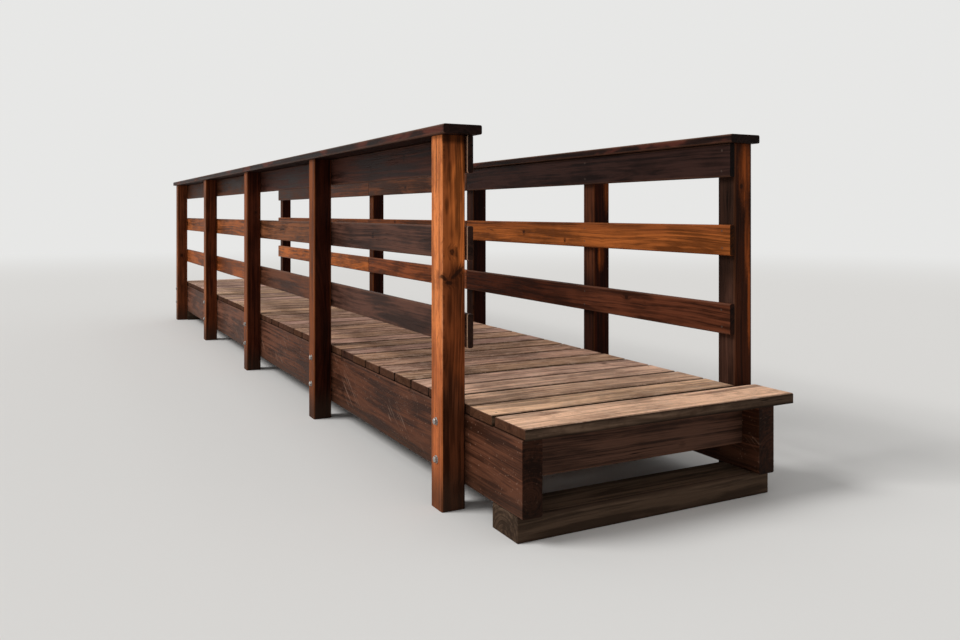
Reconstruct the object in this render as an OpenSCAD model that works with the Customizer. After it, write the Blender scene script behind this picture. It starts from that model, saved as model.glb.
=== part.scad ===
// Timber footbridge: two stringers on sill beams carry a deck of cross boards, and
// square posts bolted outside the stringers carry three rails and a flat cap a side.
// X runs along the bridge with the near end at +X, the front railing is at -Y and the
// back railing at +Y, and Z is up. The origin is at the bottom centre of the bridge.
// Distances along the bridge are measured from the near end of the deck.

/* [Deck] */
// Clear width between the posts, which is also the length of a deck board
clear_w = 1300; // [900:10:2000]
// Width of a deck board
board_w = 200; // [120:5:260]
// Thickness of a deck board
board_t = 45; // [30:1:70]
// Gap between two deck boards
board_gap = 10; // [4:1:20]
// Least length of deck past the last front post
deck_past = 50; // [20:5:150]
// Width of the threshold board at the near end, which runs on across the first back post
threshold_w = 240; // [160:5:320]
// Gap behind the threshold board
threshold_gap = 14; // [6:1:20]
// Arris taken off the top edges of the deck boards
board_arris = 4; // [1:0.5:8]

/* [Substructure] */
// Width of a stringer
stringer_w = 90; // [60:5:160]
// Depth of a stringer
stringer_h = 300; // [240:5:420]
// How far the deck reaches past each end of the stringers
deck_nosing = 15; // [5:1:40]
// Thickness of a cross beam between the stringers
beam_w = 70; // [40:5:120]
// Depth of a cross beam
beam_h = 180; // [100:5:230]
// Width of a sill beam under the ends of the stringers
sill_w = 200; // [120:5:300]
// Height of a sill beam
sill_h = 100; // [60:5:180]
// Distance from the end of the stringers to a sill beam
sill_inset = 35; // [0:5:40]

/* [Railing] */
// Side of a square post
post_w = 110; // [80:1:140]
// Height of the underside of the cap above the deck
rail_rise = 1140; // [1000:5:1300]
// Thickness of a rail board
rail_t = 28; // [20:1:60]
// Height of the top rail, right under the cap
top_rail_h = 160; // [120:5:200]
// Height of the middle and low rails
rail_h = 145; // [100:5:180]
// Depth of the middle rail's top below the cap
mid_drop = 385; // [300:5:460]
// Depth of the low rail's top below the cap
low_drop = 757; // [650:1:840]
// Arris taken off the long edges of posts and rails
arris = 5; // [1:0.5:12]
// Gap where two lengths of rail or cap meet over a post
joint_gap = 3; // [1:0.5:8]
// How far the front rails run past the first front post
front_rail_past = 20; // [0:1:60]

/* [Cap] */
// Width of the cap board
cap_w = 180; // [160:5:240]
// Thickness of the cap board
cap_t = 40; // [25:1:60]
// How far the front cap runs past the first front post
front_cap_past = 60; // [0:5:120]
// How far the back cap runs past the first back post
back_cap_past = 30; // [0:5:120]
// How far a cap runs past the last post
far_cap_past = 90; // [0:5:200]

/* [Posts] */
// Distance from the first deck board to the first front post
front_setback = 236; // [5:1:500]
// Spacing of the front posts
front_bay = 1830; // [1500:10:2000]
// Post where the two lengths of each front rail meet, counted from the near end
front_joint = 3; // [2:1:4]
// Distance from the first deck board to the first back post
back_setback = 2; // [2:1:400]
// First back bay
back_bay_1 = 1135; // [800:5:2000]
// Second back bay
back_bay_2 = 1555; // [800:5:2200]
// Third back bay
back_bay_3 = 2120; // [800:5:2400]
// Fourth back bay
back_bay_4 = 1690; // [800:5:2200]
// Fifth back bay
back_bay_5 = 1690; // [800:5:2000]
// Post where the first two lengths of each back rail meet, counted from the near end
back_joint_1 = 3; // [2:1:3]
// Post where the last two lengths of each back rail meet, counted from the near end
back_joint_2 = 4; // [4:1:5]

/* [Hidden] */
front = -1;
back = 1;

// Heights
stringer_top = sill_h + stringer_h;
deck_top = stringer_top + board_t;
post_top = deck_top + rail_rise;

// Distances from the near end of the deck to the near face of each post
first_board = threshold_w + threshold_gap;
front_inset = first_board + front_setback;
back_inset = first_board + back_setback;
front_at = [for (i = [0 : 4]) front_inset + i * front_bay];
back_at = [
  back_inset,
  back_inset + back_bay_1,
  back_inset + back_bay_1 + back_bay_2,
  back_inset + back_bay_1 + back_bay_2 + back_bay_3,
  back_inset + back_bay_1 + back_bay_2 + back_bay_3 + back_bay_4,
  back_inset + back_bay_1 + back_bay_2 + back_bay_3 + back_bay_4 + back_bay_5
];

// Ends of the rails, and as many whole boards as reach past the last front post
front_end = front_at[4] + post_w;
back_end = back_at[5] + post_w;
front_joints = [front_at[front_joint - 1]];
back_joints = [back_at[back_joint_1 - 1], back_at[back_joint_2 - 1]];
board_pitch = board_w + board_gap;
board_count = ceil((front_end + deck_past + board_gap - first_board) / board_pitch);
deck_end = first_board + board_count * board_pitch - board_gap;
stringer_start = deck_nosing;
stringer_end = deck_end - deck_nosing;

// The near end of the deck in X, which puts the origin at the middle of the bridge
front_cap_start = front_inset - front_cap_past;
back_cap_start = back_inset - back_cap_past;
front_rail_start = front_inset - front_rail_past;
reach_near = min(0, front_cap_start, back_cap_start, front_rail_start);
reach_far = max(deck_end, front_end + far_cap_past, back_end + far_cap_past);
near_x = (reach_near + reach_far) / 2;

// Sides
post_inner_y = clear_w / 2;
post_outer_y = post_inner_y + post_w;
post_mid_y = post_inner_y + post_w / 2;
rail_mid_y = post_inner_y - rail_t / 2;
cap_mid_y = post_inner_y + (post_w - rail_t) / 2;

// A bar along X from one distance to another, with its bottom at z, its middle at y
// and its four long edges taken off
module bar(from, to, y, z, w, h, edge) {
  translate([near_x - to, y, z])
    rotate([90, 0, 90])
      linear_extrude(to - from)
        polygon([
          [-w / 2 + edge, 0], [w / 2 - edge, 0], [w / 2, edge], [w / 2, h - edge],
          [w / 2 - edge, h], [-w / 2 + edge, h], [-w / 2, h - edge], [-w / 2, edge]
        ]);
}

// A board across the bridge from the front of the deck to a place past its middle, with
// the two long edges of its top taken off
module cross_board(from, w, back_y) {
  translate([near_x - from - w / 2, back_y, stringer_top])
    rotate([90, 0, 0])
      linear_extrude(back_y + post_inner_y)
        polygon([
          [-w / 2, 0], [w / 2, 0], [w / 2, board_t - board_arris],
          [w / 2 - board_arris, board_t], [-w / 2 + board_arris, board_t],
          [-w / 2, board_t - board_arris]
        ]);
}

// A plain block across the bridge between two sides
module cross_block(from, w, len, z, h) {
  translate([near_x - from - w, -len / 2, z])
    cube([w, len, h]);
}

module sill(from) {
  color("#5a4a3c") cross_block(from, sill_w, clear_w, 0, sill_h);
}

module stringer(side) {
  color("#5b3a2c")
    bar(stringer_start, stringer_end, side * (post_inner_y - stringer_w / 2),
        sill_h, stringer_w, stringer_h, arris);
}

module cross_beam(at) {
  color("#5b3a2c")
    cross_block(at - beam_w / 2, beam_w, clear_w - 2 * stringer_w,
                stringer_top - beam_h, beam_h);
}

module deck_boards() {
  color("#8f7561")
    for (i = [0 : board_count - 1])
      cross_board(first_board + i * board_pitch, board_w, post_inner_y);
}

module threshold_board() {
  color("#9a7f68") cross_board(0, threshold_w, post_outer_y);
}

// A square post whose near face is at the given distance
module post(at, side) {
  half = post_w / 2;
  color("#7a4a2c")
    translate([near_x - at - half, side * post_mid_y, 0])
      linear_extrude(post_top)
        polygon([
          [-half + arris, -half], [half - arris, -half], [half, -half + arris],
          [half, half - arris], [half - arris, half], [-half + arris, half],
          [-half, half - arris], [-half, -half + arris]
        ]);
}

// Lengths of board from start to end that meet over the middles of the given posts
module lengths(start, end, joints, y, z, w, h) {
  cuts = [for (at = joints) at + post_w / 2];
  starts = concat([start], [for (cut = cuts) cut + joint_gap / 2]);
  ends = concat([for (cut = cuts) cut - joint_gap / 2], [end]);
  for (i = [0 : len(cuts)])
    bar(starts[i], ends[i], y, z, w, h, arris);
}

// A rail on the inner faces of one side's posts, its top a drop below the cap
module rail(side, drop, h) {
  color("#4a3029")
    if (side == front)
      lengths(front_rail_start, front_end, front_joints,
              side * rail_mid_y, post_top - drop - h, rail_t, h);
    else
      lengths(back_inset, back_end, back_joints,
              side * rail_mid_y, post_top - drop - h, rail_t, h);
}

// The flat cap over one side's posts and top rail
module cap(side) {
  color("#3f2a24")
    if (side == front)
      lengths(front_cap_start, front_end + far_cap_past, front_joints,
              side * cap_mid_y, post_top, cap_w, cap_t);
    else
      lengths(back_cap_start, back_end + far_cap_past, back_joints,
              side * cap_mid_y, post_top, cap_w, cap_t);
}

sill(stringer_start + sill_inset);  // sill_near
sill(stringer_end - sill_inset - sill_w);  // sill_far
stringer(front);  // stringer_front
stringer(back);  // stringer_back
cross_beam(stringer_start + sill_inset + sill_w / 2);  // cross_beam_near
cross_beam((stringer_start + stringer_end) / 2);  // cross_beam_middle
cross_beam(stringer_end - sill_inset - sill_w / 2);  // cross_beam_far
deck_boards();
threshold_board();
post(front_at[0], front);  // front_post_1
post(front_at[1], front);  // front_post_2
post(front_at[2], front);  // front_post_3
post(front_at[3], front);  // front_post_4
post(front_at[4], front);  // front_post_5
post(back_at[0], back);  // back_post_1
post(back_at[1], back);  // back_post_2
post(back_at[2], back);  // back_post_3
post(back_at[3], back);  // back_post_4
post(back_at[4], back);  // back_post_5
post(back_at[5], back);  // back_post_6
rail(front, low_drop, rail_h);  // front_low_rail
rail(front, mid_drop, rail_h);  // front_mid_rail
rail(front, 0, top_rail_h);  // front_top_rail
cap(front);  // front_cap
rail(back, low_drop, rail_h);  // back_low_rail
rail(back, mid_drop, rail_h);  // back_mid_rail
rail(back, 0, top_rail_h);  // back_top_rail
cap(back);  // back_cap
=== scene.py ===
"""The looks of a timber footbridge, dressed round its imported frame.

Every timber of the frame stays where it is: its edges are eased by modifiers, and its
finish is a procedural wood whose growth rings, knots and checks run along the piece.
The deck boards, which are worn one by one, stand for the frame's plain ones. Bolts and
screws are added where the timbers cross. All lengths are in metres.
"""

import math
import random
from collections import namedtuple

import bmesh
import bpy
from mathutils import Matrix, Vector


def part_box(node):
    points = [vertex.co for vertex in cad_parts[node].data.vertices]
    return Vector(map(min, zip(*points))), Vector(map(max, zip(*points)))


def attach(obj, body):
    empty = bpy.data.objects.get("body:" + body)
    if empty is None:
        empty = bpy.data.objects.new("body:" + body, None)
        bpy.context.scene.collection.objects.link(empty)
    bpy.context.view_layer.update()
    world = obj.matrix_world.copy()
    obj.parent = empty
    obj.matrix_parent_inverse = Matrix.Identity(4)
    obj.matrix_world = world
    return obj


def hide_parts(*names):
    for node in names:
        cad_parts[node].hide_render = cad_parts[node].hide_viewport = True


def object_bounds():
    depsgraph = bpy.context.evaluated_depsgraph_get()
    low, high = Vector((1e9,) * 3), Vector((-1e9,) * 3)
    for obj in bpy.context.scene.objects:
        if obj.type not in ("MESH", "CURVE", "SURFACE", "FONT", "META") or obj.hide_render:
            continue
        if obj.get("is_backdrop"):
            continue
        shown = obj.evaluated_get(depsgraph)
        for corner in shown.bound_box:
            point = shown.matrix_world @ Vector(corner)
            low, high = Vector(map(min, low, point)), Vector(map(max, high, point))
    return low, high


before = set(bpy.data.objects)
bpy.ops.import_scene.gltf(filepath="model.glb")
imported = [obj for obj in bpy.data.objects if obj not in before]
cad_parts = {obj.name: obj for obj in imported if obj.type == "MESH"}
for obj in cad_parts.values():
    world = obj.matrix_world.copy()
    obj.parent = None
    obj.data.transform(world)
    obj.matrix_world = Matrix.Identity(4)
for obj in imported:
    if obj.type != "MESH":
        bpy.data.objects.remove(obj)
CAD_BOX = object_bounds()
BODY = "root"

# Camera, fitted to the photograph's frame. The sensor is in millimetres, and the focal
# length and the horizon are in pixels.
PHOTO_W, PHOTO_H = 960, 640
FOCAL_PX = 854.4
HORIZON_ROW = 213.5
SENSOR = 36.0
CAMERA_AT = (7.0724, -2.2787, 1.2533)
CAMERA_TURN = math.radians(62.33)

# Light
KEY_FROM = Vector((-0.35, -1.0, 1.05))
KEY_STRENGTH = 2.0
KEY_SOFTNESS = math.radians(25)
SKY_STRENGTH = 0.52
SKY_COLOUR = (1.0, 1.0, 1.0)
BACKDROP = (0.80, 0.80, 0.79)
FLOOR_COLOUR = (0.72, 0.71, 0.69)
FLOOR_RADIUS = 90.0
FLOOR_FADE = (9.0, 24.0)

# Edges of the sawn timbers
EDGE_ROUND = 0.0022
EDGE_SEGMENTS = 2
EDGE_ANGLE = math.radians(30)
FLAT_ANGLE = math.radians(1)
WELD_GAP = 0.00002

# Bolts through the posts into the stringers. A head's chamfer is given in shares of its
# corner radius, each with its depth under the top.
BOLT_DROPS = (0.075, 0.230)
BOLT_JITTER_X, BOLT_JITTER_Z = 0.004, 0.006
WASHER_R, WASHER_T, WASHER_RIM = 0.017, 0.0025, 0.0006
HEAD_FLATS, HEAD_T = 0.024, 0.010
HEAD_CHAMFER = ((1.0, 0.0022), (0.84, 0.0003), (0.78, 0.0))

# Countersunk screws. The inset in the deck is a share of the board's width.
SCREW_R, SCREW_DEPTH, SCREW_PROUD = 0.0048, 0.0030, 0.0003
SCREW_NECK_R, SCREW_CROWN_R = 0.55 * SCREW_R, 0.9 * SCREW_R
SOCKET_R, SOCKET_DEPTH = 0.0022, 0.0016
SOCKET_FLOOR_R = 0.85 * SOCKET_R
SCREW_JITTER = 0.003
RAIL_SCREW_INSET = 0.032
CAP_SCREW_SPREAD = 0.028
JOINT_SCREW_SPREAD = 0.026
JOINT_REACH = 0.02
DECK_SCREW_INSET = 0.22
DECK_SCREW_SINK = 0.0013

# Seeds of the grain, and of the random draws
FRONT_POST_SEED, BACK_POST_SEED = 11, 31
RAIL_SEED, RAIL_SEED_STEP = 50, 5
STRINGER_SEED, BEAM_SEED = 80, 84
THRESHOLD_SEED, BOARD_SEED = 99.0, 100.0
DECK_DRAWS, BOLT_DRAWS, SCREW_DRAWS = 7, 21, 5

POST_COUNTS = {"front": 5, "back": 6}

# Directions of the frame: out from the front railing, toward the near end, and up
FRONT = (0.0, -1.0, 0.0)
NEAR = (1.0, 0.0, 0.0)
UP = (0.0, 0.0, 1.0)


def srgb(red, green, blue):
    """A colour given as it looks, from 0 to 255, as the linear one that shaders use."""

    def linear(value):
        value /= 255
        return value / 12.92 if value <= 0.04045 else ((value + 0.055) / 1.055) ** 2.4

    return (linear(red), linear(green), linear(blue), 1.0)


# A stain: the tones of its dark, middle and light grain
Tones = namedtuple("Tones", "dark middle light")


def stain(red, green, blue, deep=0.5, pale=1.55):
    """Tones round a colour given as it looks: dark grain has deep times its light."""
    middle = srgb(red, green, blue)
    dark = tuple(value * deep for value in middle[:3]) + (1.0,)
    light = tuple(value * pale for value in middle[:3]) + (1.0,)
    return Tones(dark, middle, light)


KNOT_COLOUR = srgb(34, 16, 9)
CHECK_COLOUR = srgb(14, 8, 6)
SOIL_COLOUR = srgb(48, 36, 28)


# A pattern of spots: the scales of its noise per metre along each axis, the noise's
# detail and roughness, its values where a spot begins and is full, and the strength
Spots = namedtuple("Spots", "scales detail roughness begin full strength", defaults=(1.0,))


class Nodes:
    """Short ways to add shader nodes to one tree."""

    def __init__(self, tree):
        self.tree = tree
        tree.nodes.clear()

    def add(self, kind, inputs=(), **settings):
        """A node, whose inputs are given in their order or in a dictionary."""
        node = self.tree.nodes.new("ShaderNode" + kind)
        for name, value in settings.items():
            setattr(node, name, value)
        named = inputs.items() if isinstance(inputs, dict) else enumerate(inputs)
        for name, value in named:
            if isinstance(value, bpy.types.NodeSocket):
                self.tree.links.new(value, node.inputs[name])
            else:
                node.inputs[name].default_value = value
        return node

    def math(self, operation, *values):
        return self.add("Math", values, operation=operation).outputs[0]

    def times(self, first, *others):
        """The product of two or more values."""
        for other in others:
            first = self.math("MULTIPLY", first, other)
        return first

    def line(self, value, slope, start):
        """slope times the value, added to start."""
        return self.math("MULTIPLY_ADD", value, slope, start)

    def vector(self, operation, *values):
        node = self.add("VectorMath", values, operation=operation)
        return node.outputs["Value" if operation in ("LENGTH", "DOT_PRODUCT") else "Vector"]

    def apart(self, vector):
        return self.add("SeparateXYZ", (vector,)).outputs

    def together(self, x, y, z):
        return self.add("CombineXYZ", (x, y, z)).outputs[0]

    def place(self):
        """The shaded point's place in the frame."""
        return self.add("TexCoord").outputs["Object"]

    def normal(self):
        return self.add("NewGeometry").outputs["Normal"]

    def step(self, value, low, high, full=1.0):
        """0 at low, full at high, and a smooth change between; low may be above high."""
        inputs = {"Value": value, "From Min": low, "From Max": high, "To Max": full}
        return self.add("MapRange", inputs, interpolation_type="SMOOTHSTEP").outputs["Result"]

    def mix(self, factor, first, second, blend="MIX"):
        inputs = {0: factor, 6: first, 7: second}
        return self.add("Mix", inputs, data_type="RGBA", blend_type=blend).outputs[2]

    def shade(self, factor, colour, dim):
        """The colour, multiplied by dim where the factor is 1."""
        return self.mix(factor, colour, (dim, dim, dim, 1.0), "MULTIPLY")

    def noise(self, vector, scales, detail=2.0, roughness=0.5):
        """Noise with its own scale, per metre, along each axis of the vector."""
        scaled = self.vector("MULTIPLY", vector, scales)
        inputs = {"Vector": scaled, "Scale": 1.0, "Detail": detail, "Roughness": roughness}
        return self.add("TexNoise", inputs)

    def grey_noise(self, vector, scales, detail=2.0, roughness=0.5):
        return self.noise(vector, scales, detail, roughness).outputs["Fac"]

    def spots(self, vector, pattern, *where):
        """A mask of spots, kept to the masks where."""
        noise = self.grey_noise(vector, pattern.scales, pattern.detail, pattern.roughness)
        mask = self.step(noise, pattern.begin, pattern.full, pattern.strength)
        return self.times(mask, *where)

    def dice(self, number):
        """Three random values for a number."""
        node = self.add("TexWhiteNoise", {"W": number}, noise_dimensions="1D")
        return node.outputs["Color"]

    def tones(self, factor, tones):
        """The colour from dark over middle to light as the factor goes from 0 to 1."""
        low = self.mix(self.step(factor, 0.0, 0.5), tones.dark, tones.middle)
        return self.mix(self.step(factor, 0.5, 1.0), low, tones.light)

    def bump(self, height):
        """The normal of a surface with this relief, which is in metres."""
        inputs = {"Height": height, "Strength": 1.0, "Distance": 1.0}
        return self.add("Bump", inputs).outputs["Normal"]


def new_material(name):
    material = bpy.data.materials.new(name)
    material.use_nodes = True
    return material, Nodes(material.node_tree)


# The wood's grain

# What the shader knows at a point of a piece: its place in the frame, its place along
# and across the grain, the same moved by the piece's seed, and the grain's values there
WOOD_FIELDS = "place at seeded seed figure ring fibre blotch knot collar check"
Wood = namedtuple("Wood", WOOD_FIELDS)

# Knots: the cells of scattered ones, how much a distance along the grain counts, the
# least radius and its spread, and where a knot and its collar begin and are full, in
# radii. Those at given places have an edge with its own noise, and pull at the rings.
KNOT_CELL = (0.34, 0.085, 0.085)
KNOT_ALONG = 0.75
KNOT_LEAST, KNOT_SPREAD = 0.005, 0.011
KNOT_EDGE, COLLAR_EDGE = (1.08, 0.8), (3.2, 0.9)
PLACED_KNOT_EDGE, PLACED_COLLAR_EDGE = (1.1, 0.6), (2.8, 0.9)
PLACED_NOISE = (70.0, 70.0, 70.0)
PLACED_RAGGED = 0.9
PLACED_PULL = 0.9

# Growth rings in metres: where the pith lies beside and under the piece's middle, how far
# it wanders and the rings ripple, each with its noise, and how much a knot pulls at them
PITH_ACROSS = 0.16
PITH_DROP, PITH_DROP_SPREAD = 0.035, 0.08
PITH_WANDER, PITH_NOISE = 0.10, (0.8, 0.8, 0.8)
RING_RIPPLE, RIPPLE_NOISE = 0.007, (3.0, 22.0, 22.0)
RING_PULL = 0.9

# Latewood: the parts of a year in which it comes and goes, its strength and its tint
LATE_BEGIN, LATE_END = (0.35, 0.88), (1.0, 0.9)
LATE_LEAST, LATE_SPREAD = 0.2, 0.8
LATE_TINT = (0.42, 0.36, 0.33, 1.0)

# Drying checks: their noise, and how near it is to its middle value in a crack
CHECK_NOISE = (1.1, 70.0, 70.0)
CHECK_EDGE = (0.010, 0.002)
CHECK_PATCHES = Spots((1.3, 11.0, 11.0), 1.0, 0.5, 0.57, 0.66)

# The noises of the figure, and the share of each. The bands follow the rings: their
# second scale is that of the distance from the pith.
Grain = namedtuple("Grain", "scales detail roughness share")
BAND = Grain((0.8, 85.0, 1.0), 3.0, 0.6, 1.5)
STREAK = Grain((1.6, 55.0, 55.0), 3.0, 0.6, 1.1)
BLOTCH = Grain((2.6, 9.0, 9.0), 3.0, 0.6, 1.5)
FIBRE = Grain((12.0, 520.0, 520.0), 2.0, 0.5, 0.5)

# How far, at most, a seed moves a piece through the noises
SEED_SHIFT = (17.0, 17.0, 17.0)

# A knot at a given place: its centre, its half sizes and its turns in degrees. A half
# size of 1 runs right through the piece.
Knot = namedtuple("Knot", "centre half turn", defaults=((0, 0, 0),))


def scattered_knots(n, seeded, rate):
    """Knots at random points inside the wood: the knot, its collar and its pull."""
    cell = n.vector("DIVIDE", seeded, KNOT_CELL)
    scatter = n.add("TexVoronoi", {"Vector": cell, "Scale": 1.0})
    apart = n.vector("SUBTRACT", cell, scatter.outputs["Position"])
    flat = n.vector("MULTIPLY", apart, (KNOT_CELL[0] * KNOT_ALONG, *KNOT_CELL[1:]))
    dice = n.apart(scatter.outputs["Color"])
    size = n.line(dice[0], KNOT_SPREAD, KNOT_LEAST)
    reach = n.math("DIVIDE", n.vector("LENGTH", flat), size)
    there = n.math("LESS_THAN", dice[1], rate)
    knot = n.times(there, n.step(reach, *KNOT_EDGE))
    collar = n.times(there, n.step(reach, *COLLAR_EDGE))
    return knot, collar, n.times(collar, size)


def placed_knot(n, place, spot):
    """One knot at its given place: the knot, its collar and its pull."""
    turns = tuple(math.radians(turn) for turn in spot.turn)
    inputs = {"Vector": place, "Location": spot.centre, "Rotation": turns, "Scale": spot.half}
    local = n.add("Mapping", inputs, vector_type="TEXTURE").outputs["Vector"]
    ragged = n.grey_noise(place, PLACED_NOISE)
    ragged = n.line(ragged, PLACED_RAGGED, -PLACED_RAGGED / 2)
    reach = n.math("ADD", n.vector("LENGTH", local), ragged)
    collar = n.step(reach, *PLACED_COLLAR_EDGE)
    pull = n.times(collar, min(spot.half) * PLACED_PULL)
    return n.step(reach, *PLACED_KNOT_EDGE), collar, pull


def growth_radius(n, at, dice, seeded, pull):
    """The distance from a pith that wanders beside or in the piece."""
    _, across, up = n.apart(at)
    wander = n.apart(n.noise(seeded, PITH_NOISE, detail=1.0).outputs["Color"])
    ripple = n.grey_noise(seeded, RIPPLE_NOISE)
    pith_across = n.line(dice[0], PITH_ACROSS, -PITH_ACROSS / 2)
    pith_up = n.line(dice[1], -PITH_DROP_SPREAD, -PITH_DROP)
    offsets = []
    for distance, pith, drift in ((across, pith_across, wander[0]), (up, pith_up, wander[1])):
        offset = n.math("SUBTRACT", distance, pith)
        swing = n.math("SUBTRACT", drift, 0.5)
        offsets.append(n.line(swing, PITH_WANDER, offset))
    radius = n.vector("LENGTH", n.together(*offsets, 0.0))
    radius = n.line(ripple, RING_RIPPLE, radius)
    return n.line(pull, RING_PULL, radius)


def latewood(n, radius, gap, own):
    """The dark line at the end of each year's growth."""
    phase = n.math("DIVIDE", radius, gap)
    inputs = {"Vector": n.together(n.math("FLOOR", phase), own, 0.0)}
    year = n.add("TexWhiteNoise", inputs, noise_dimensions="2D").outputs["Value"]
    part = n.math("FRACT", phase)
    strength = n.line(year, LATE_SPREAD, LATE_LEAST)
    return n.times(n.step(part, *LATE_BEGIN), n.step(part, *LATE_END), strength)


def drying_checks(n, seeded):
    """Thin open cracks along the grain, in a few patches."""
    field = n.grey_noise(seeded, CHECK_NOISE, detail=1.0)
    line = n.step(n.math("ABSOLUTE", n.math("SUBTRACT", field, 0.5)), *CHECK_EDGE)
    return n.times(line, n.spots(seeded, CHECK_PATCHES))


def wood_grain(n, place, at, seed, look):
    """The grain at a point of the piece that has this seed."""
    chance = n.dice(seed)
    dice = n.apart(chance)
    seeded = n.vector("MULTIPLY_ADD", chance, SEED_SHIFT, at)
    knots = [scattered_knots(n, seeded, look.knots)]
    knots += [placed_knot(n, place, spot) for spot in look.spots]
    knot, collar, pull = knots[0]
    for more in knots[1:]:
        knot, collar, pull = (n.math("MAXIMUM", *two) for two in zip((knot, collar, pull), more))
    radius = growth_radius(n, at, dice, seeded, pull)
    ring = latewood(n, radius, look.ring_gap, dice[2])
    layers = n.together(n.apart(seeded)[0], radius, dice[2])
    figure, fields = 0.5, []
    for grain, vector in ((BAND, layers), (STREAK, seeded), (BLOTCH, seeded), (FIBRE, seeded)):
        field = n.grey_noise(vector, grain.scales, grain.detail, grain.roughness)
        swing = n.times(n.math("SUBTRACT", field, 0.5), grain.share * look.contrast)
        figure = n.math("ADD", swing, figure)
        fields.append(field)
    _, _, blotch, fibre = fields
    check = drying_checks(n, seeded)
    return Wood(place, at, seeded, seed, figure, ring, fibre, blotch, knot, collar, check)


# One piece of timber: the axis of its grain, its middle and its half sizes
Shape = namedtuple("Shape", "axis middle half")
ACROSS = {0: (1, 2), 1: (0, 2), 2: (0, 1)}


def shape_of(low, high, axis):
    return Shape(axis, (low + high) / 2, (high - low) / 2)


def plain_place(n, place, shape):
    """The point as distances along the grain and across it from the piece's middle."""
    first, second = ACROSS[shape.axis]
    parts = n.apart(n.vector("SUBTRACT", place, tuple(shape.middle)))
    return n.together(parts[shape.axis], parts[first], parts[second])


# Arris bands, worn pale on most timbers and on the bare ones dark with dirt and painted shade of
# the gaps: the least width of a band, and the width over which it is full
WEAR_LEAST, WEAR_FULL = 0.001, 0.003


def arris_wear_and_shade(n, wood, shape, wear):
    """1 on the long arrises, fading over up to the given width into the faces."""
    first, second = ACROSS[shape.axis]
    _, across, up = n.apart(wood.at)
    gap = n.math("SUBTRACT", shape.half[first], n.math("ABSOLUTE", across))
    gap = n.math("ADD", gap, n.math("SUBTRACT", shape.half[second], n.math("ABSOLUTE", up)))
    ragged = n.line(wood.blotch, wear, WEAR_LEAST)
    return n.step(gap, ragged, WEAR_FULL)


def facing(n, direction, low=0.35, high=0.8):
    """1 on faces that look along a direction of the frame."""
    return n.step(n.vector("DOT_PRODUCT", n.normal(), direction), low, high)


def along_axis(n, axis, low=0.55, high=0.85):
    """1 on faces that look either way along an axis."""
    return n.step(n.math("ABSOLUTE", n.apart(n.normal())[axis]), low, high)


# How a finish shows its grain
LOOK_FIELDS = "ring_gap contrast rings edge wear worn roughness specular relief end knots spots"
Look = namedtuple("Look", LOOK_FIELDS)
STAINED = Look(
    ring_gap=0.0085,
    contrast=1.9,
    rings=0.5,
    edge=0.3,
    wear=0.020,
    worn=srgb(160, 94, 54),
    roughness=(0.45, 0.62),
    specular=0.03,
    relief=1.0,
    end=0.35,
    knots=0.30,
    spots=(),
)
DARK = STAINED._replace(
    contrast=2.3,
    rings=0.45,
    edge=0.5,
    worn=srgb(104, 72, 56),
    roughness=(0.40, 0.55),
    specular=0.035,
    relief=0.8,
    end=0.3,
    knots=0.22,
)
CAP = DARK._replace(end=0.6)
STRINGER = DARK._replace(contrast=2.4)
BARE = STAINED._replace(
    ring_gap=0.010,
    contrast=2.6,
    rings=0.6,
    edge=0.8,
    wear=0.034,
    # The bare look's arrises are dark: dirt, and painted shade of the gaps between deck boards
    worn=srgb(58, 42, 33),
    roughness=(0.8, 0.95),
    relief=1.8,
    end=0.9,
    knots=0.10,
)


# How much of its own colour each of them lays over the stain
COLLAR_STRENGTH, KNOT_STRENGTH, CHECK_STRENGTH = 0.35, 0.8, 0.85

# Relief in metres: that of the grain, which a look makes more or less, and of its marks
GRAIN_RELIEF = {"ring": -0.00022, "fibre": 0.00025, "figure": 0.0004}
MARK_RELIEF = {"knot": 0.0004, "check": -0.0012}


def timber(name, shape, layers, look, seed, place_in=plain_place, extra=None):
    """A wood material.

    layers(n, wood) returns the masks and tones of the stain, from the base up.
    extra(n, wood, colour) may change the colour once the stain is on.
    """
    material, n = new_material(name)
    place = n.place()
    own_seed = seed(n, place) if callable(seed) else float(seed)
    wood = wood_grain(n, place, place_in(n, place, shape), own_seed, look)
    colour = None
    for mask, tones in layers(n, wood):
        tone = n.tones(wood.figure, tones)
        colour = tone if colour is None else n.mix(mask, colour, tone)
    colour = n.mix(n.times(wood.ring, look.rings), colour, LATE_TINT, "MULTIPLY")
    # Arris band: wear, and on the bare look dirt and painted shade
    worn = n.times(arris_wear_and_shade(n, wood, shape, look.wear), look.edge)
    colour = n.mix(worn, colour, look.worn)
    if extra:
        colour = extra(n, wood, colour)
    colour = n.mix(n.times(wood.collar, COLLAR_STRENGTH), colour, KNOT_COLOUR)
    colour = n.mix(n.times(wood.knot, KNOT_STRENGTH), colour, KNOT_COLOUR)
    colour = n.mix(n.times(wood.check, CHECK_STRENGTH), colour, CHECK_COLOUR)
    colour = n.shade(along_axis(n, shape.axis), colour, look.end)
    n.add("OutputMaterial", {"Surface": wood_surface(n, wood, colour, look)})
    return material


def wood_surface(n, wood, colour, look):
    """The shader of a wood, with its relief."""
    height = 0.0
    for field, relief in GRAIN_RELIEF.items():
        height = n.line(getattr(wood, field), relief * look.relief, height)
    for field, relief in MARK_RELIEF.items():
        height = n.line(getattr(wood, field), relief, height)
    smooth, rough = look.roughness
    rough = n.add("MapRange", {"Value": wood.figure, "To Min": smooth, "To Max": rough})
    inputs = {
        "Base Color": colour,
        "Roughness": rough.outputs["Result"],
        "Normal": n.bump(height),
        "Specular IOR Level": look.specular,
    }
    return n.add("BsdfPrincipled", inputs).outputs["BSDF"]


STEEL_DULL = srgb(96, 74, 60)
DULL_PATCHES = Spots((260.0, 260.0, 260.0), 3.0, 0.5, 0.45, 0.7)
STEEL_NOISE = (900.0, 900.0, 900.0)
STEEL_HEIGHT = 0.00015
STEEL_ROUGHNESS_SPREAD = 0.3


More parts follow.
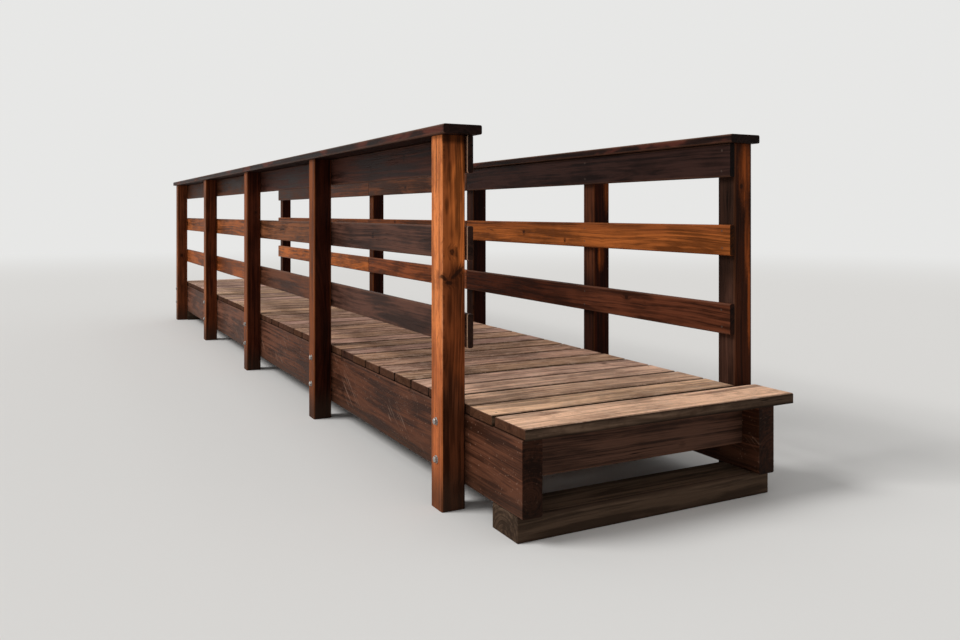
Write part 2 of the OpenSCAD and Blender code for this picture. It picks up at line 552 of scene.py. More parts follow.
def steel(name, colour, roughness, metallic):
    """Weathered fastener steel, with dull patches."""
    material, n = new_material(name)
    place = n.place()
    fine = n.grey_noise(place, STEEL_NOISE)
    inputs = {
        "Base Color": n.mix(n.spots(place, DULL_PATCHES), colour, STEEL_DULL),
        "Metallic": metallic,
        "Roughness": n.line(fine, STEEL_ROUGHNESS_SPREAD, roughness),
        "Normal": n.bump(n.times(fine, STEEL_HEIGHT)),
    }
    n.add("OutputMaterial", {"Surface": n.add("BsdfPrincipled", inputs).outputs["BSDF"]})
    return material


# The frame's timbers


def islands(node):
    """The boxes of the separate solids of a node, from the near end to the far one."""
    mesh = bmesh.new()
    mesh.from_mesh(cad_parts[node].data)
    bmesh.ops.remove_doubles(mesh, verts=mesh.verts, dist=WELD_GAP)
    left = set(mesh.verts)
    boxes = []
    while left:
        todo = [left.pop()]
        found = []
        while todo:
            vert = todo.pop()
            found.append(vert.co.copy())
            for edge in vert.link_edges:
                other = edge.other_vert(vert)
                if other in left:
                    left.remove(other)
                    todo.append(other)
        low = Vector([min(co[i] for co in found) for i in range(3)])
        high = Vector([max(co[i] for co in found) for i in range(3)])
        boxes.append((low, high))
    mesh.free()
    return sorted(boxes, key=lambda box: -box[1].x)


def dress(node, axis, layers, look, seed, extra=None):
    """Gives a timber of the frame its wood, with the grain along axis, and eases its edges."""
    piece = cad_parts[node]
    material = timber(node, shape_of(*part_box(node), axis), layers, look, seed, extra=extra)
    if not piece.material_slots:
        piece.data.materials.append(material)
    for slot in piece.material_slots:
        slot.material = material
    weld = piece.modifiers.new("weld", "WELD")
    weld.merge_threshold = WELD_GAP
    flat = piece.modifiers.new("flat", "DECIMATE")
    flat.decimate_type = "DISSOLVE"
    flat.angle_limit = FLAT_ANGLE
    ease = piece.modifiers.new("ease", "BEVEL")
    ease.width = EDGE_ROUND
    ease.segments = EDGE_SEGMENTS
    ease.limit_method = "ANGLE"
    ease.angle_limit = EDGE_ANGLE


def posts(side):
    return [f"{side}_post_{i + 1}" for i in range(POST_COUNTS[side])]


# Damp feet: the heights at which the damp begins and is full, and how ragged that is
DAMP_HEIGHTS = (0.12, -0.08)
DAMP_RAGGED = 0.22


def damp_foot(n, wood, colour):
    """Soil and damp on the lowest part of a piece."""
    height = n.line(wood.blotch, -DAMP_RAGGED, n.apart(wood.place)[2])
    return n.mix(n.step(height, *DAMP_HEIGHTS, full=0.7), colour, SOIL_COLOUR)


# Stains of the posts: the sides that look along the bridge, then the front side, and
# for the back posts the front side's lower half
FRONT_POST_STAINS = (
    (stain(184, 101, 48, 0.40, 1.5), stain(202, 119, 67, 0.62, 1.3)),
    (stain(44, 16, 7), stain(114, 63, 36)),
    (stain(66, 29, 16), stain(120, 67, 39)),
    (stain(80, 38, 19), stain(126, 75, 47)),
    (stain(98, 51, 28), stain(126, 75, 47)),
)
BACK_POST_STAINS = (
    (stain(50, 23, 11), stain(43, 27, 20), stain(68, 45, 36)),
    (stain(46, 17, 7), stain(75, 40, 24), stain(40, 20, 13)),
    (stain(34, 11, 5), stain(52, 29, 20), stain(46, 25, 17)),
    (stain(40, 14, 6), stain(88, 48, 26), stain(80, 43, 24)),
    (stain(40, 14, 6), stain(88, 48, 26), stain(80, 43, 24)),
    (stain(40, 14, 6), stain(78, 42, 24), stain(72, 38, 22)),
)
NEAR_POST_LOW = stain(103, 52, 25)
NEAR_POST_FOOT = stain(80, 42, 24)
NEAR_POST_OUTSIDE_LOW = stain(172, 96, 54, 0.62, 1.3)
NEAR_POST_ARRIS = srgb(226, 160, 122)
NEAR_POST_MOTTLE = srgb(156, 84, 50)
WARM_PATCH = stain(136, 67, 28)
WARM_PATCH_STRENGTH = 0.9

# Heights at which stains, and a painted shadow, begin and are full: the back posts' lower half,
# then on the near front post the browns, which swing up and down, and the painted shadow of the
# cap on its near face
BACK_POST_LOWER = (1.0, 0.8)
BROWN_BELOW = (1.14, 0.95)
FOOT_BELOW = (0.62, 0.45)
BROWN_ABOVE = (1.40, 1.52)
OUTSIDE_BELOW = (0.85, 0.6)
STAIN_SWING = 0.7
PAINTED_CAP_SHADOW = (1.540, 1.562)

# Across its near face: the brown side, its share of the swing, and the strip of notches
BROWN_SIDE = (-0.690, -0.745)
SIDE_SWING = 0.15
NOTCH_STRIP = (0.015, 0.010)
MOTTLE = Spots((45.0, 45.0, 14.0), 3.0, 0.5, 0.48, 0.64, 0.5)
TICKS = Spots((150.0, 150.0, 42.0), 2.0, 0.5, 0.60, 0.68, 0.6)
NOTCHES = Spots((6.0, 6.0, 46.0), 3.0, 0.7, 0.50, 0.60, 0.6)

# Where the first two back posts show warm patches
BACK_POST_PATCHES = {
    "back_post_1": (
        Knot((4.122, 0.712, 1.44), (1.0, 0.018, 0.080)),
        Knot((4.122, 0.730, 1.14), (1.0, 0.008, 0.090)),
        Knot((4.122, 0.742, 0.83), (1.0, 0.005, 0.100)),
    ),
    "back_post_2": (
        Knot((2.976, 0.650, 1.42), (0.009, 0.009, 0.080)),
        Knot((2.987, 0.738, 1.42), (1.0, 0.010, 0.080)),
        Knot((2.987, 0.700, 1.00), (1.0, 0.012, 0.040)),
    ),
}

# The near front post's knots and smudges, on the face that looks to the near end
NEAR_POST_KNOTS = (
    Knot((3.83, -0.714, 1.091), (1.0, 0.014, 0.015)),
    Knot((3.83, -0.751, 0.983), (0.030, 0.022, 0.009), (-45, 0, 0)),
    Knot((3.83, -0.691, 1.000), (1.0, 0.044, 0.010), (42, 0, 0)),
    Knot((3.83, -0.728, 0.962), (0.050, 0.022, 0.011)),
)
NEAR_POST_SMUDGES = (
    Knot((3.83, -0.742, 0.656), (1.0, 0.007, 0.040)),
    Knot((3.83, -0.738, 1.289), (1.0, 0.005, 0.020)),
    Knot((3.83, -0.724, 1.427), (1.0, 0.006, 0.022)),
    Knot((3.83, -0.725, 0.860), (1.0, 0.006, 0.040)),
)
SMUDGE_STRENGTH = 0.6


def near_post_layers(n, wood):
    """The near front post: orange outside, brown and darker downward on its near face."""
    base, outside = FRONT_POST_STAINS[0]
    swing = n.times(n.math("SUBTRACT", wood.blotch, 0.5), STAIN_SWING)
    _, across, up = n.apart(wood.place)
    height = n.math("ADD", up, swing)
    brown = n.step(n.line(swing, SIDE_SWING, across), *BROWN_SIDE, full=0.75)
    outer = facing(n, FRONT)
    return [
        (None, base),
        (brown, NEAR_POST_LOW),
        (n.step(height, *BROWN_BELOW), NEAR_POST_LOW),
        (n.step(height, *FOOT_BELOW), NEAR_POST_FOOT),
        (n.step(height, *BROWN_ABOVE, full=0.8), NEAR_POST_LOW),
        (outer, outside),
        (n.times(outer, n.step(height, *OUTSIDE_BELOW)), NEAR_POST_OUTSIDE_LOW),
    ]


def near_post_smudges(n, wood, colour):
    """Mottling and dark ticks outside, notches, the cap's painted shadow, smudges, and soil at
    the foot.
    """
    outer, near = facing(n, FRONT), facing(n, NEAR)
    colour = n.mix(n.spots(wood.place, MOTTLE, outer), colour, NEAR_POST_MOTTLE)
    colour = n.shade(n.spots(wood.place, TICKS, outer), colour, dim=0.35)
    _, across, up = n.apart(wood.place)
    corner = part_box("front_post_1")[0].y
    strip = n.step(across, *(corner + reach for reach in NOTCH_STRIP))
    strip = n.times(strip, facing(n, NEAR, low=0.88, high=0.97))
    colour = n.shade(n.spots(wood.place, NOTCHES, strip), colour, dim=0.25)
    # Painted shadow of the cap: the top of the near face is darkened under its overhang
    colour = n.shade(n.times(n.step(up, *PAINTED_CAP_SHADOW, full=0.85), near), colour, dim=0.2)
    for spot in NEAR_POST_SMUDGES:
        _, collar, _ = placed_knot(n, wood.place, spot)
        colour = n.shade(n.times(collar, near, SMUDGE_STRENGTH), colour, dim=0.15)
    return damp_foot(n, wood, colour)


def post_layers(base, front_side, front_low=None, patches=()):
    """A post with one stain, warm patches in it, and other stains on its front side."""

    def layers(n, wood):
        front = facing(n, FRONT)
        found = [(None, base), (front, front_side)]
        if front_low:
            low = n.step(n.apart(wood.place)[2], *BACK_POST_LOWER)
            found.append((n.times(front, low), front_low))
        for spot in patches:
            _, patch, _ = placed_knot(n, wood.place, spot)
            found.append((n.times(patch, WARM_PATCH_STRENGTH), WARM_PATCH))
        return found

    return layers


NEAR_POST = STAINED._replace(
    contrast=2.4,
    rings=0.3,
    edge=0.8,
    wear=0.009,
    worn=NEAR_POST_ARRIS,
    knots=0.1,
    spots=NEAR_POST_KNOTS,
)
BACK_POST = STAINED._replace(edge=0.10)


def dress_posts():
    for number, node in enumerate(posts("front")):
        layers, look, extra = post_layers(*FRONT_POST_STAINS[number]), STAINED, damp_foot
        if number == 0:
            layers, look, extra = near_post_layers, NEAR_POST, near_post_smudges
        dress(node, 2, layers, look, FRONT_POST_SEED + number, extra)
    for number, node in enumerate(posts("back")):
        patches = BACK_POST_PATCHES.get(node, ())
        layers = post_layers(*BACK_POST_STAINS[number], patches=patches)
        dress(node, 2, layers, BACK_POST, BACK_POST_SEED + number, damp_foot)


# The stains along rails and caps. A stop is a stain, the place along the bridge from
# which it starts, and the length over which it comes in. JOINT is the next joint.
Stop = namedtuple("Stop", "tones start blend", defaults=(None, 0))
JOINT = "joint"
JOINT_GAP = 0.002
RAIL_STOPS = {
    "front_top_rail": (Stop(stain(59, 34, 27)), Stop(stain(72, 42, 27), JOINT)),
    "front_mid_rail": (
        Stop(stain(74, 49, 40)),
        Stop(stain(108, 66, 42), 1.9, 0.5),
        Stop(stain(131, 74, 40), JOINT),
    ),
    "front_low_rail": (
        Stop(stain(74, 49, 40)),
        Stop(stain(84, 51, 36), 1.9, 0.5),
        Stop(stain(135, 74, 39), JOINT),
    ),
    "back_top_rail": (
        Stop(stain(43, 27, 23)),
        Stop(stain(84, 50, 33), JOINT),
        Stop(stain(88, 51, 33), JOINT),
        Stop(stain(62, 36, 24), -1.8, 1.0),
    ),
    "back_mid_rail": (
        Stop(stain(147, 81, 37, 0.5, 1.5)),
        Stop(stain(92, 55, 35), JOINT),
        Stop(stain(110, 66, 40), JOINT),
    ),
    "back_low_rail": (
        Stop(stain(81, 43, 27)),
        Stop(stain(58, 27, 15), 3.1, 0.8),
        Stop(stain(124, 68, 40), JOINT),
        Stop(stain(160, 90, 44), JOINT),
    ),
    "front_cap": (Stop(stain(38, 22, 18)), Stop(stain(44, 27, 21), JOINT)),
    "back_cap": (
        Stop(stain(34, 20, 16)),
        Stop(stain(40, 25, 20), JOINT),
        Stop(stain(38, 24, 19), JOINT),
    ),
}
CAP_TOP = stain(98, 76, 64)
CAP_RUST = stain(104, 52, 40)
CAP_RUST_EDGE = (0.52, 0.62)
# Painted highlight: the pale colour at the lit near ends of the front rails
RAIL_END_HIGHLIGHT = srgb(206, 166, 136)
RAIL_END_BAND = (0.009, 0.005)
ORANGE_RAIL = "back_mid_rail"
ORANGE_RAIL_TOP = stain(98, 50, 25)
ORANGE_RAIL_BAND, ORANGE_RAIL_RAGGED = (1.195, 1.235), 0.10
RAIL_KNOTS = {
    "front_top_rail": (
        Knot((2.691, -0.650, 1.505), (0.006, 1.0, 0.022)),
        Knot((3.155, -0.650, 1.530), (0.008, 1.0, 0.013)),
    ),
    "front_mid_rail": (Knot((2.721, -0.650, 1.137), (0.010, 1.0, 0.012)),),
    ORANGE_RAIL: (
        Knot((2.169, 0.622, 1.130), (0.010, 1.0, 0.012)),
        Knot((2.663, 0.622, 1.084), (0.009, 1.0, 0.009)),
    ),
}


def joints_of(node):
    """The places along the bridge where the lengths of a rail or cap meet."""
    lengths = islands(node)
    return [(near[0].x + far[1].x) / 2 for near, far in zip(lengths, lengths[1:])]


def length_seed(joints, seed):
    """A seed that changes at each joint."""

    def own(n, place):
        x = n.apart(place)[0]
        total = float(seed)
        for joint in joints:
            total = n.math("ADD", n.math("LESS_THAN", x, joint), total)
        return total

    return own


def stop_layers(stops, joints):
    """The stains along a rail or cap."""

    def layers(n, wood):
        x = n.apart(wood.place)[0]
        left = list(joints)
        found = []
        for stop in stops:
            start = left.pop(0) if stop.start == JOINT else stop.start
            mask = None if start is None else n.step(x, start, start - stop.blend - JOINT_GAP)
            found.append((mask, stop.tones))
        return found

    return layers


def cap_layers(stops, joints):
    """A cap: bleached on top, with rusty patches on its sides."""
    stained = stop_layers(stops, joints)

    def layers(n, wood):
        rust = n.times(n.step(wood.blotch, *CAP_RUST_EDGE, full=0.35), along_axis(n, 1))
        return stained(n, wood) + [(rust, CAP_RUST), (facing(n, UP), CAP_TOP)]

    return layers


def orange_rail_layers(stops, joints):
    """The orange rail, with a darker band along its top."""
    stained = stop_layers(stops, joints)

    def layers(n, wood):
        height = n.line(wood.blotch, ORANGE_RAIL_RAGGED, n.apart(wood.place)[2])
        band = n.step(height, *ORANGE_RAIL_BAND, full=0.6)
        return stained(n, wood) + [(band, ORANGE_RAIL_TOP)]

    return layers


def rail_end_highlight(end):
    """A painted highlight on the upright arris at the near end of a front rail."""

    def extra(n, wood, colour):
        low, high = (end - reach for reach in RAIL_END_BAND)
        strip = n.step(n.apart(wood.place)[0], low, high, full=0.85)
        arris = n.times(strip, facing(n, FRONT, low=0.2, high=0.5))
        return n.mix(arris, colour, RAIL_END_HIGHLIGHT)

    return extra


def dress_rails():
    for number, (node, stops) in enumerate(RAIL_STOPS.items()):
        joints = joints_of(node)
        layers, look, extra = stop_layers(stops, joints), DARK, None
        if node.endswith("cap"):
            layers, look = cap_layers(stops, joints), CAP
        elif node.startswith("front"):
            extra = rail_end_highlight(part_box(node)[1].x)
        elif node == ORANGE_RAIL:
            layers = orange_rail_layers(stops, joints)
            # End grain, and painted shade: the orange rail's end made near black
            look = STAINED._replace(knots=0.12, end=0.10)
        else:
            # End grain, and painted shade: the other back rails' ends made near black
            look = DARK._replace(end=0.15)
        look = look._replace(spots=RAIL_KNOTS.get(node, ()))
        seed = length_seed(joints, RAIL_SEED + RAIL_SEED_STEP * number)
        dress(node, 0, layers, look, seed, extra)


STRINGER_NEAR = stain(77, 46, 32)
STRINGER_FAR = stain(97, 64, 50)
BEAM_STAIN = stain(70, 48, 38)
SILL_STAIN = stain(104, 84, 68)
STRINGER_FADE = (2.0, -1.5)
SCRATCH_COLOUR = srgb(150, 118, 100)
SCRATCH_LEAN = (0.0, -0.6, 0.0)
SCRATCHES = Spots((5.0, 5.0, 90.0), 2.0, 0.6, 0.60, 0.68, 0.5)
SCRATCHED_PATCHES = Spots((2.0, 2.0, 5.0), 2.0, 0.5, 0.50, 0.62)
SPECKS = Spots((90.0, 90.0, 90.0), 1.0, 0.5, 0.70, 0.76, 0.5)


def stringer_layers(n, wood):
    far = n.step(n.apart(wood.place)[0], *STRINGER_FADE)
    return [(None, STRINGER_NEAR), (far, STRINGER_FAR)]


def scuffs(n, wood, colour):
    """Pale scratches across the grain and specks of dirt, then soil at the foot."""
    leaning = n.add("Mapping", {"Vector": wood.place, "Rotation": SCRATCH_LEAN})
    patches = n.spots(wood.place, SCRATCHED_PATCHES)
    scratches = n.spots(leaning.outputs["Vector"], SCRATCHES, patches)
    for marks in (scratches, n.spots(wood.place, SPECKS)):
        colour = n.mix(marks, colour, SCRATCH_COLOUR)
    return damp_foot(n, wood, colour)


def one_stain(tones):
    return lambda n, wood: [(None, tones)]


def dress_substructure():
    for number, node in enumerate(("stringer_front", "stringer_back")):
        dress(node, 0, stringer_layers, STRINGER, STRINGER_SEED + number, scuffs)
    beams = [(f"cross_beam_{where}", BEAM_STAIN, DARK) for where in ("near", "middle", "far")]
    sills = [(f"sill_{where}", SILL_STAIN, BARE) for where in ("near", "far")]
    for number, (node, tones, look) in enumerate(beams + sills):
        dress(node, 1, one_stain(tones), look, BEAM_SEED + number, damp_foot)


# Pieces of the scene's own


def new_piece(name, build, material):
    """A piece of the scene's own, whose mesh the function build makes."""
    mesh = bpy.data.meshes.new(name)
    made = bmesh.new()
    build(made)
    bmesh.ops.recalc_face_normals(made, faces=made.faces)
    made.to_mesh(mesh)
    made.free()
    piece = bpy.data.objects.new(name, mesh)
    bpy.context.scene.collection.objects.link(piece)
    piece.data.materials.append(material)
    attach(piece, BODY)
    return piece


# A board's worn arris, in shares of its size: its reach down the side and in on the top,
# and the point between, in from the side and down from the top
ARRIS_REACH, ARRIS_IN, ARRIS_DOWN = 1.6, 0.35, 0.55


def board_outline(half_w, thick, arris, cup, steps=5):
    """A worn board's section, from one lower edge over the top to the other."""
    inner = half_w - ARRIS_REACH * arris
    points = [(-half_w, 0.0), (-half_w, thick - ARRIS_REACH * arris)]
    points += [(ARRIS_IN * arris - half_w, thick - ARRIS_DOWN * arris)]
    for i in range(steps + 1):
        across = inner * (2 * i / steps - 1)
        points.append((across, thick - cup * (1 - (across / inner) ** 2)))
    points += [(half_w - ARRIS_IN * arris, thick - ARRIS_DOWN * arris)]
    return points + [(half_w, thick - ARRIS_REACH * arris), (half_w, 0.0)]


# Wear of the deck boards in metres: the most, or the least and the most, of each draw
THINNING = 0.0006
END_JITTER = 0.006
ARRIS_SIZES = (0.0028, 0.0050)
CUPPING = (0.0003, 0.0012)

# Waves of the boards' tops and sides: a full turn, how many waves, their radians per
# metre along the board and across it, and their depth, as a share of its half at the sides
TURN = 6.3
TOP_WAVES, TOP_RATES, TOP_SKEW, TOP_DEPTH = 3, (3, 9), 14, 0.0001
SIDE_WAVES, SIDE_RATES, SIDE_DEPTH, SIDE_LEAST = 2, (3, 11), 0.0055, 0.004


def waves(dice, count, rates):
    """Waves along a board: where each starts, and its rate."""
    return [(dice.uniform(0, TURN), dice.uniform(*rates)) for _ in range(count)]


def worn_board(made, low, high, dice, sections=17):
    """A weathered board inside the box from low to high, its grain along Y."""
    thick = high.z - low.z - dice.uniform(0.0, THINNING)
    half_w, middle = (high.x - low.x) / 2, (low.x + high.x) / 2
    front_y = low.y + dice.uniform(0.0, END_JITTER)
    back_y = high.y - dice.uniform(0.0, END_JITTER)
    arris, cup = dice.uniform(*ARRIS_SIZES), dice.uniform(*CUPPING)
    top = waves(dice, TOP_WAVES, TOP_RATES)
    sides = [waves(dice, SIDE_WAVES, SIDE_RATES) for _ in range(2)]
    rings = []
    for s in range(sections):
        y = front_y + (back_y - front_y) * s / (sections - 1)
        ring = []
        for x, z in board_outline(half_w, thick, arris, cup):
            side = sides[0] if x < 0 else sides[1]
            ragged = sum(math.sin(turn + rate * y) for turn, rate in side)
            if z > 0.5 * thick:
                wave = sum(math.sin(turn + rate * y + TOP_SKEW * x) for turn, rate in top)
                z -= TOP_DEPTH * (wave + TOP_WAVES)
            x *= 1 - SIDE_DEPTH * (ragged + SIDE_WAVES) - SIDE_LEAST
            ring.append(made.verts.new((middle + x, y, low.z + z)))
        rings.append(ring)
    close_rings(made, rings)


def close_rings(made, rings):
    """Faces between each ring and the next, and over the first and the last."""
    for first, second in zip(rings, rings[1:]):
        for i in range(len(first)):
            j = (i + 1) % len(first)
            made.faces.new((first[i], first[j], second[j], second[i]))
    made.faces.new(rings[0])
    made.faces.new(rings[-1])


def shade_softly(piece, angle=40):
    """Smooth shading, with the sharp edges kept."""
    for face in piece.data.polygons:
        face.use_smooth = True
    piece.data.set_sharp_from_angle(angle=math.radians(angle))


DECK_MIDDLE = stain(162, 126, 107, 0.55, 1.45)
DECK_PALE = stain(214, 173, 147, 0.62, 1.25)
DECK_FAR = stain(194, 160, 140, 0.6, 1.35)
BOARD_END = stain(77, 50, 37, 0.8, 1.15)
# Wear with a painted highlight: the pale top edge of the boards' sawn ends
BOARD_ARRIS_WORN_AND_LIT = srgb(176, 136, 114)
DUST_COLOUR = srgb(204, 172, 150)
TREAD_COLOUR = srgb(112, 78, 62)
# Soil, and painted shade of the gaps: how dim the boards' long sides are
BOARD_SIDE_SOIL_AND_SHADE = 0.14

# Where along the bridge the dusty boards and the far ones begin and are full
DUSTY_FROM, DUSTY_RAGGED = (3.30, 3.95), 0.7
FAR_FROM = (1.5, -2.0)

# Bands of the sawn ends: under the top, wear with a painted highlight, and over the stringers, a
# painted shadow line
PALE_BAND = (0.006, 0.002)
STRINGER_SHADOW_BAND = (0.008, 0.004)

# What sets a board's shade apart from its grain, and how light and how blue it may be
SHADE_SEED = 0.37
SHADE_LEAST, SHADE_SPREAD = 0.87, 0.32
BLUE_LEAST, BLUE_SPREAD = 0.86, 0.22
OPEN_GRAIN = Spots((0.9, 95.0, 95.0), 3.0, 0.65, 0.56, 0.66)
TREAD_STAINS = Spots((9.0, 6.0, 9.0), 4.0, 0.7, 0.48, 0.62, 0.35)
DUST = Spots((22.0, 11.0, 22.0), 5.0, 0.75, 0.50, 0.62, 0.4)
DUST_SPECKS = Spots((150.0, 80.0, 150.0), 2.0, 0.5, 0.62, 0.70, 0.6)


def deck_layers(n, wood):
    """Grey tan boards, paler where feet bring dust onto them, with browner ends."""
    x = n.apart(wood.place)[0]
    dusty = n.step(n.line(wood.blotch, DUSTY_RAGGED, x), *DUSTY_FROM)
    far = n.step(x, *FAR_FROM)
    ends = along_axis(n, 1)
    return [(None, DECK_MIDDLE), (far, DECK_FAR), (dusty, DECK_PALE), (ends, BOARD_END)]


def board_ends(n, wood, colour):
    """A pale upper arris on the sawn ends, worn and with a painted highlight, and a painted
    shadow line at the joint over the stringers.
    """
    low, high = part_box("deck_boards")
    height = n.apart(wood.place)[2]
    end = along_axis(n, 1)
    # Partly wear, partly a painted highlight: the top edge of each end made paler
    arris = n.step(height, *(high.z - drop for drop in PALE_BAND), full=0.3)
    colour = n.mix(n.times(arris, end), colour, BOARD_ARRIS_WORN_AND_LIT)
    # Painted shade: the bottom of each end darkened where the board sits on the stringer
    joint = n.step(height, *(low.z + rise for rise in STRINGER_SHADOW_BAND))
    return n.shade(n.times(joint, end), colour, dim=0.25)


def weathered(n, wood, colour):
    """Each board's own shade, open grain, trodden stains, dust, and dark sides: soil and painted
    shade of the gaps.
    """
    own = n.apart(n.dice(n.math("ADD", wood.seed, SHADE_SEED)))
    shade = n.line(own[0], SHADE_SPREAD, SHADE_LEAST)
    blue = n.times(shade, n.line(own[1], BLUE_SPREAD, BLUE_LEAST))
    colour = n.mix(1.0, colour, n.together(shade, shade, blue), "MULTIPLY")
    top = facing(n, UP)
    colour = n.shade(n.spots(wood.seeded, OPEN_GRAIN, top), colour, dim=0.55)
    colour = n.mix(n.spots(wood.place, TREAD_STAINS), colour, TREAD_COLOUR)
    dust = n.math("MAXIMUM", n.spots(wood.place, DUST), n.spots(wood.place, DUST_SPECKS))
    colour = board_ends(n, wood, n.mix(n.times(dust, top), colour, DUST_COLOUR))
    # The long sides darkened: soil, and painted shade of the gaps between boards
    return n.shade(along_axis(n, 0), colour, BOARD_SIDE_SOIL_AND_SHADE)


def make_deck():
    dice = random.Random(DECK_DRAWS)
    boards = islands("deck_boards")
    low, high = boards[0]
    pitch = high.x - boards[1][1].x
    start = high.x + (pitch - (high.x - low.x)) / 2

    def count(n, place):
        """How many boards lie between the row's start and a point, with the part of one."""
        return n.math("DIVIDE", n.math("SUBTRACT", start, n.apart(place)[0]), pitch)

    def seed(n, place):
        return n.math("ADD", n.math("FLOOR", count(n, place)), BOARD_SEED)

    def place_in(n, place, shape):
        """Each board's own distances: the place across starts again at each gap."""
        part = n.math("FRACT", count(n, place))
        across = n.times(n.math("SUBTRACT", part, 0.5), pitch)
        parts = n.apart(n.vector("SUBTRACT", place, tuple(shape.middle)))
        return n.together(parts[1], across, parts[2])

    deck_piece("deck_planks", "deck_boards", boards, dice, seed, place_in)
    threshold = [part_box("threshold_board")]
    deck_piece("threshold_plank", "threshold_board", threshold, dice, THRESHOLD_SEED)


def deck_piece(name, node, boards, dice, seed, place_in=plain_place):
    """Worn boards in the boxes of the plain ones of a node, which they replace."""

    def build(made):
        for low, high in boards:
            worn_board(made, low, high, dice)

    shape = shape_of(*boards[0], 1)
    wood = timber(name, shape, deck_layers, BARE, seed, place_in, extra=weathered)
    piece = new_piece(name, build, wood)
    shade_softly(piece)
    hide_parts(node)


# Fasteners


def turned(made, levels, sides):
    """A closed solid from (radius, height) levels, one after the other."""
    rings = []
    for radius, height in levels:
        turns = [2 * math.pi * i / sides for i in range(sides)]
        places = [(radius * math.cos(a), radius * math.sin(a), height) for a in turns]
        rings.append([made.verts.new(place) for place in places])
    close_rings(made, rings)
    return [vert for ring in rings for vert in ring]


def bolt_head(made, matrix):
    """A washer and a hexagon head with chamfered corners, standing on a face."""
    washer = [(WASHER_R, 0.0), (WASHER_R, WASHER_T - WASHER_RIM)]
    washer += [(WASHER_R - WASHER_RIM, WASHER_T)]
    corner = HEAD_FLATS / math.sqrt(3)
    top = WASHER_T + HEAD_T
    head = [(corner, WASHER_T)]
    head += [(corner * share, top - depth) for share, depth in HEAD_CHAMFER]
    verts = turned(made, washer, sides=28) + turned(made, head, sides=6)
    bmesh.ops.transform(made, matrix=matrix, verts=verts)


def screw_head(made, matrix):
    """A countersunk head with a round socket, just proud of its face."""
    levels = [
        (SCREW_NECK_R, -SCREW_DEPTH),
        (SCREW_R, SCREW_PROUD / 2),
        (SCREW_CROWN_R, SCREW_PROUD),
        (SOCKET_R, SCREW_PROUD),
        (SOCKET_FLOOR_R, SCREW_PROUD - SOCKET_DEPTH),
    ]
    bmesh.ops.transform(made, matrix=matrix, verts=turned(made, levels, sides=12))


def facing_matrix(place, direction, turn=0.0):
    """Puts a fastener, made standing on Z, on a face that looks along a direction."""
    look = Vector(direction).to_track_quat("Z", "Y").to_matrix().to_4x4()
    return Matrix.Translation(place) @ look @ Matrix.Rotation(turn, 4, "Z")


def make_bolts():
    """Two bolts through each post that stands at its stringer, with their heads outside."""
    dice = random.Random(BOLT_DRAWS)
    deck_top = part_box("deck_boards")[1].z

    def put(made, post, side, sign):
        low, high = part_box(post)
        stringer_low, stringer_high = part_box(f"stringer_{side}")
        if low.x < stringer_low.x or high.x > stringer_high.x:
            return
        face = low.y if sign < 0 else high.y
        for drop in BOLT_DROPS:
            place = Vector(((low.x + high.x) / 2, face, deck_top - drop))
            place.x += dice.uniform(-BOLT_JITTER_X, BOLT_JITTER_X)
            place.z += dice.uniform(-BOLT_JITTER_Z, BOLT_JITTER_Z)
            bolt_head(made, facing_matrix(place, (0, sign, 0), dice.uniform(0, 1)))

    def build(made):
        for side, sign in (("front", -1), ("back", 1)):
            for post in posts(side):
                put(made, post, side, sign)

    zinc = steel("zinc_bolts", srgb(176, 174, 170), roughness=0.35, metallic=0.85)
    new_piece("post_bolts", build, zinc)


def screw_columns(post, joints):
    """Where the screws of a rail or cap stand along the bridge at a post."""
    low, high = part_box(post)
    middle = (low.x + high.x) / 2
    if any(abs(middle - joint) < JOINT_REACH for joint in joints):
        return (middle - JOINT_SCREW_SPREAD, middle + JOINT_SCREW_SPREAD)
    return (middle,)


def rail_screw_places(node, side):
    """Where the screws go through a rail into the posts, one over the other."""
    low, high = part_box(node)
    face = high.y if side == "front" else low.y
    joints = joints_of(node)
    for post in posts(side):
        for x in screw_columns(post, joints):
            for z in (low.z + RAIL_SCREW_INSET, high.z - RAIL_SCREW_INSET):
                yield Vector((x, face, z))


def cap_screw_places(node, side):
    """Where the screws go down through a cap into the posts."""
    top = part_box(node)[1].z
    joints = joints_of(node)
    for post in posts(side):
        low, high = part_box(post)
        across = (low.y + high.y) / 2
        for x in screw_columns(post, joints):
            for y in (across - CAP_SCREW_SPREAD, across + CAP_SCREW_SPREAD):
                yield Vector((x, y, top))


def deck_screw_places():
    """Two screws through each board into each stringer."""
    boards = islands("deck_boards") + [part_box("threshold_board")]
    stringers = [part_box("stringer_front"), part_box("stringer_back")]
    for low, high in boards:
        inset = DECK_SCREW_INSET * (high.x - low.x)
        for stringer_low, stringer_high in stringers:
            across = (stringer_low.y + stringer_high.y) / 2
            for x in (low.x + inset, high.x - inset):
                yield Vector((x, across, high.z - DECK_SCREW_SINK))


def make_screws():
    dice = random.Random(SCREW_DRAWS)

    def put(made, place, direction):
        draws = [dice.uniform(-SCREW_JITTER, SCREW_JITTER) for _ in range(3)]
        jitter = Vector([0.0 if along else draw for along, draw in zip(direction, draws)])
        screw_head(made, facing_matrix(place + jitter, direction, dice.uniform(0, 1)))

    def build_railings(made):
        for side, inward in (("front", 1), ("back", -1)):
            for level in ("low", "mid", "top"):
                for place in rail_screw_places(f"{side}_{level}_rail", side):
                    put(made, place, (0, inward, 0))
            for place in cap_screw_places(f"{side}_cap", side):
                put(made, place, (0, 0, 1))

    def build_deck(made):
        for place in deck_screw_places():
            put(made, place, (0, 0, 1))

    for name, build in (("railing_screws", build_railings), ("deck_screws", build_deck)):
        metal = steel(name, srgb(82, 68, 60), roughness=0.5, metallic=0.6)
        new_piece(name, build, metal)


# Stage


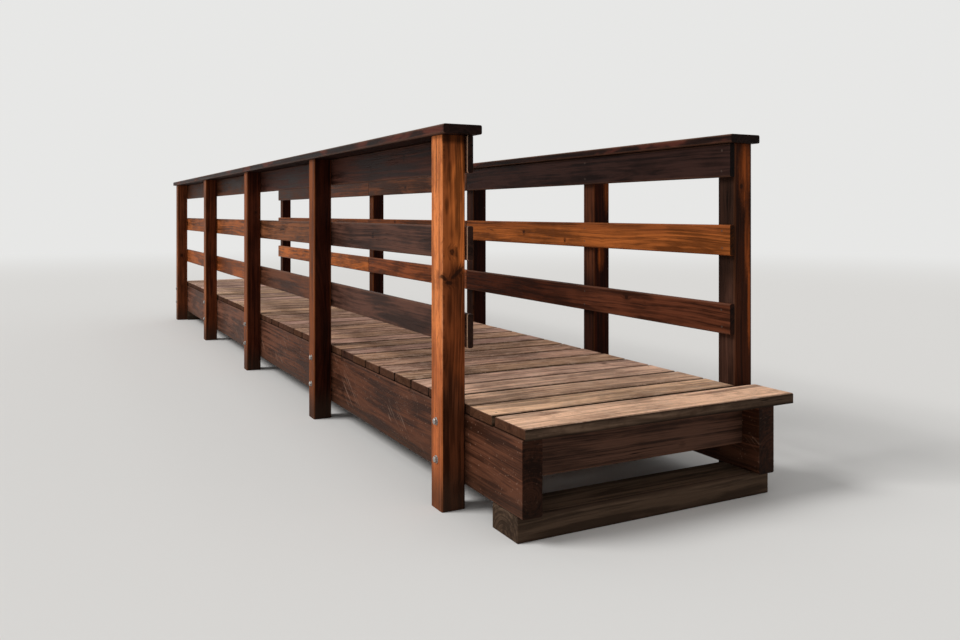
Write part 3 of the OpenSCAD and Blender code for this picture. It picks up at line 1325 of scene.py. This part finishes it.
def seen_directly(n):
    """1 for the rays that show the background: the camera's, and those of gloss and glass."""
    rays = n.add("LightPath").outputs
    seen = n.math("MAXIMUM", rays["Is Camera Ray"], rays["Is Glossy Ray"])
    return n.math("MAXIMUM", seen, rays["Is Transmission Ray"])


def make_floor():
    """A plain pale floor that fades into the backdrop away from the bridge."""
    bpy.ops.mesh.primitive_circle_add(vertices=96, radius=FLOOR_RADIUS, fill_type="NGON")
    floor = bpy.context.object
    floor.name = "floor"
    material, n = new_material("floor")
    away = n.times(n.step(n.vector("LENGTH", n.place()), *FLOOR_FADE), seen_directly(n))
    near = n.add("BsdfDiffuse", {"Color": FLOOR_COLOUR + (1.0,)})
    far = n.add("Emission", {"Color": BACKDROP + (1.0,), "Strength": 1.0})
    surface = n.add("MixShader", (away, near.outputs[0], far.outputs[0])).outputs[0]
    n.add("OutputMaterial", {"Surface": surface})
    floor.data.materials.append(material)
    floor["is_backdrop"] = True


def make_sky():
    world = bpy.data.worlds.new("studio")
    bpy.context.scene.world = world
    world.use_nodes = True
    n = Nodes(world.node_tree)
    light = n.add("Background", {"Color": SKY_COLOUR + (1.0,), "Strength": SKY_STRENGTH})
    seen = n.add("Background", {"Color": BACKDROP + (1.0,), "Strength": 1.0})
    shaders = (seen_directly(n), light.outputs[0], seen.outputs[0])
    surface = n.add("MixShader", shaders).outputs[0]
    n.add("OutputWorld", {"Surface": surface})


def make_key_light():
    lamp = bpy.data.lights.new("key", "SUN")
    lamp.energy = KEY_STRENGTH
    lamp.angle = KEY_SOFTNESS
    key = bpy.data.objects.new("key", lamp)
    key.rotation_euler = KEY_FROM.to_track_quat("Z", "Y").to_euler()
    bpy.context.scene.collection.objects.link(key)


def make_camera():
    lens = bpy.data.cameras.new("camera")
    lens.sensor_width = SENSOR
    lens.lens = FOCAL_PX * SENSOR / PHOTO_W
    lens.shift_y = (HORIZON_ROW - PHOTO_H / 2) / PHOTO_W
    lens.clip_end = 2 * FLOOR_RADIUS
    camera = bpy.data.objects.new("camera", lens)
    camera.location = CAMERA_AT
    camera.rotation_euler = (math.radians(90), 0.0, CAMERA_TURN)
    bpy.context.scene.collection.objects.link(camera)
    bpy.context.scene.camera = camera


def write_sizes():
    boxes = {"cad": CAD_BOX, "visual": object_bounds()}
    plain = {name: [list(corner) for corner in box] for name, box in boxes.items()}


bpy.context.scene.view_settings.view_transform = "Standard"
make_camera()
dress_posts()
dress_rails()
dress_substructure()
make_deck()
make_bolts()
make_screws()
make_floor()
make_sky()
make_key_light()
write_sizes()
